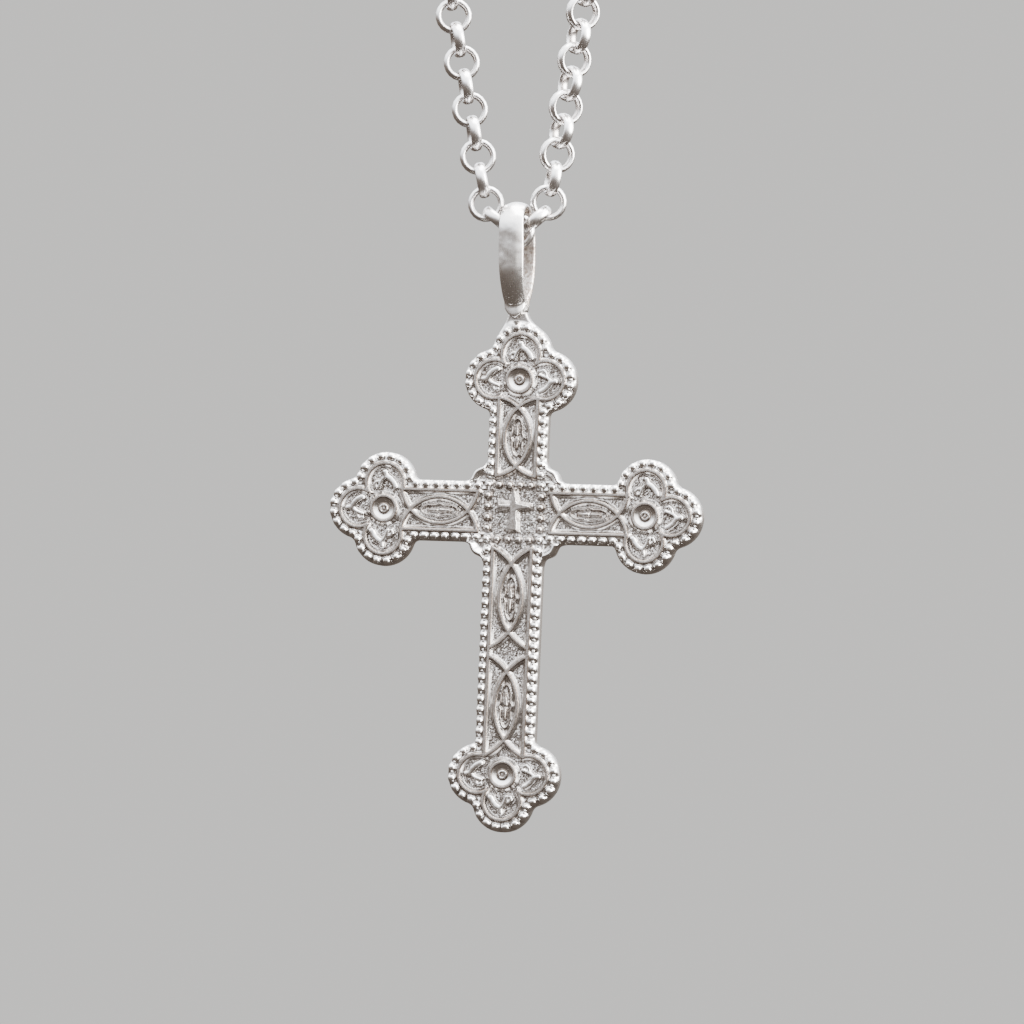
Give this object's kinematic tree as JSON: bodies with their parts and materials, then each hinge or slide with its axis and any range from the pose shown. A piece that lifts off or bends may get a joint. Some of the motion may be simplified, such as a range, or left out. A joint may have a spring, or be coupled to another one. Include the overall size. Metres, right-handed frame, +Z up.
{
  "type": "trefoil cross pendant on a belcher chain",
  "caption": "Cast cross pendant with trefoil ends, beaded borders and a long bail, hanging free on a closed loop of belcher chain with a plain clasp.",
  "frame": {"origin": "where the loop of chain hangs: the underside of the clasp, at the top of the loop", "axes": "+Z up along the hanging pendant, the ornamented face looks along -Y, +X to the right seen from the front"},
  "size_m": [0.0674, 0.0048, 0.2528],
  "materials": {
    "antiqued_silver": "cast sterling silver, polished on the raised work and darkened in the stippled ground",
    "chain_silver": "polished sterling silver with fine wear scratches"
  },
  "bodies": {
    "chain": {"chain_left": "chain_silver", "chain_right": "chain_silver", "clasp": "chain_silver"},
    "pendant": {"cross_pendant": "antiqued_silver"}
  },
  "joints": [
    {"name": "pendant_swing", "type": "hinge", "parent": "chain", "child": "pendant", "pos_m": [0, 0, -0.19868], "axis": [1, 0, 0], "range_deg": [-90, 90]}
  ]
}
